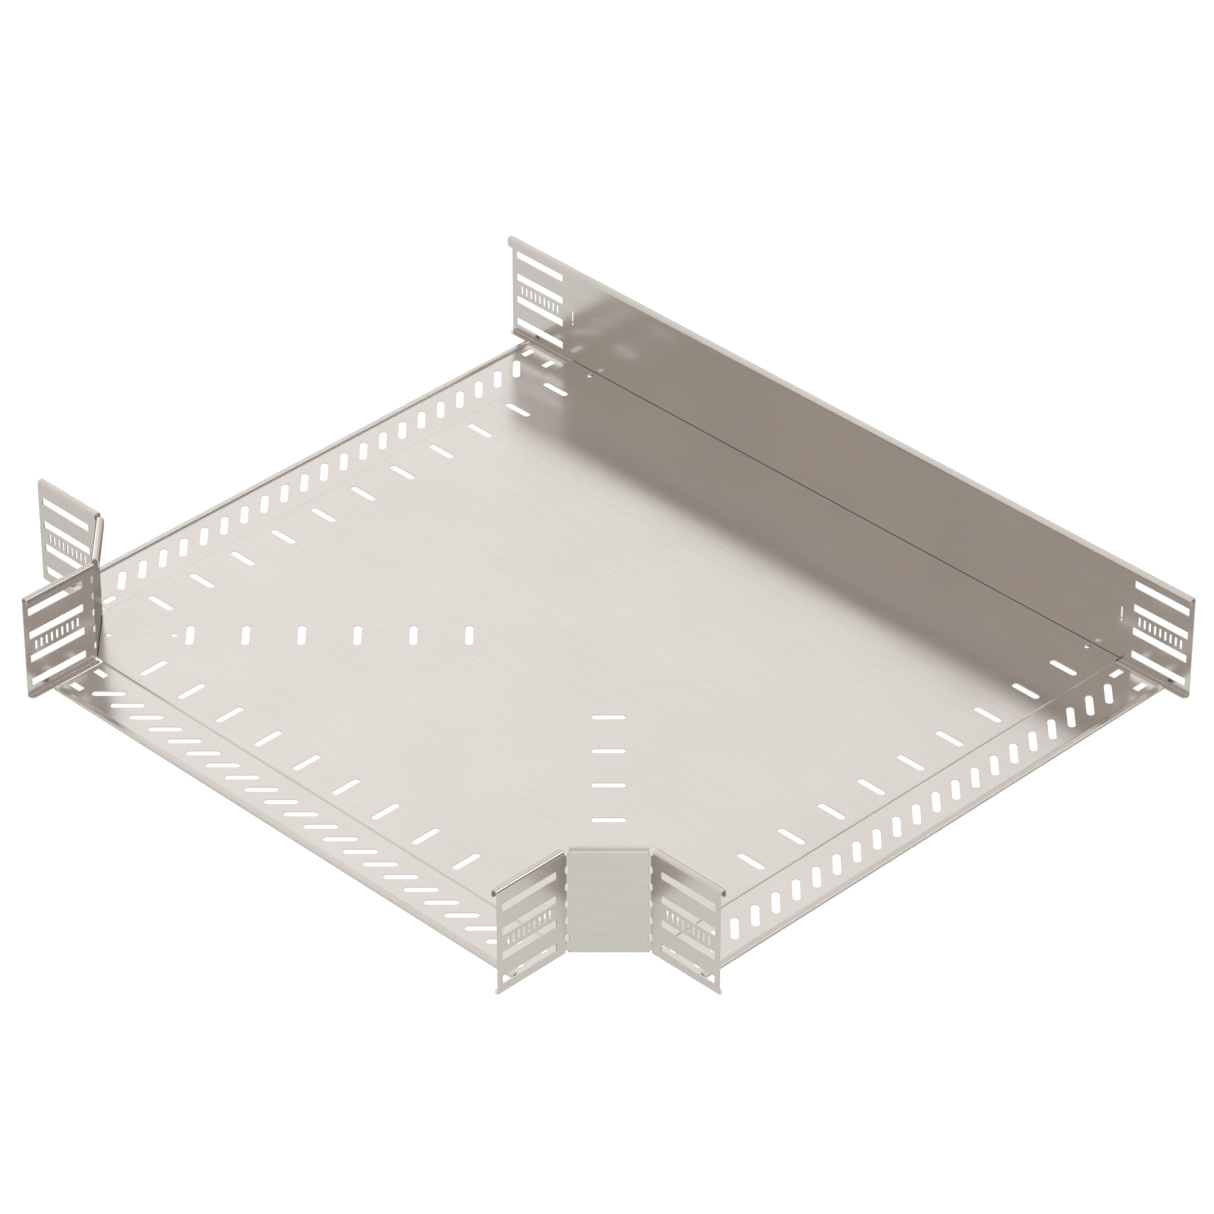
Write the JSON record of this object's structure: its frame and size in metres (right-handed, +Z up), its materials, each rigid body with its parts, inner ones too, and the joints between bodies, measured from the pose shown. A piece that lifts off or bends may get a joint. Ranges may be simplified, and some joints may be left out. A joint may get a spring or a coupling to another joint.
{
  "type": "cable tray tee",
  "caption": "Horizontal branch piece for perforated cable tray: slotted floor with three open ends, one straight side rail and two angled corner rails, all in folded stainless sheet.",
  "frame": {"origin": "crossing point of the centre lines of the through run and the branch, on the top face of the floor", "axes": "+X along the through run, -Y out of the branch opening, +Z up out of the tray"},
  "size_m": [0.854, 0.725, 0.1088],
  "materials": {
    "stainless_sheet": "satin mill finish, slightly warm"
  },
  "bodies": {
    "root": {"floor_plate": "stainless_sheet", "back_side_rail": "stainless_sheet", "left_corner_rail": "stainless_sheet", "right_corner_rail": "stainless_sheet"}
  },
  "joints": []
}
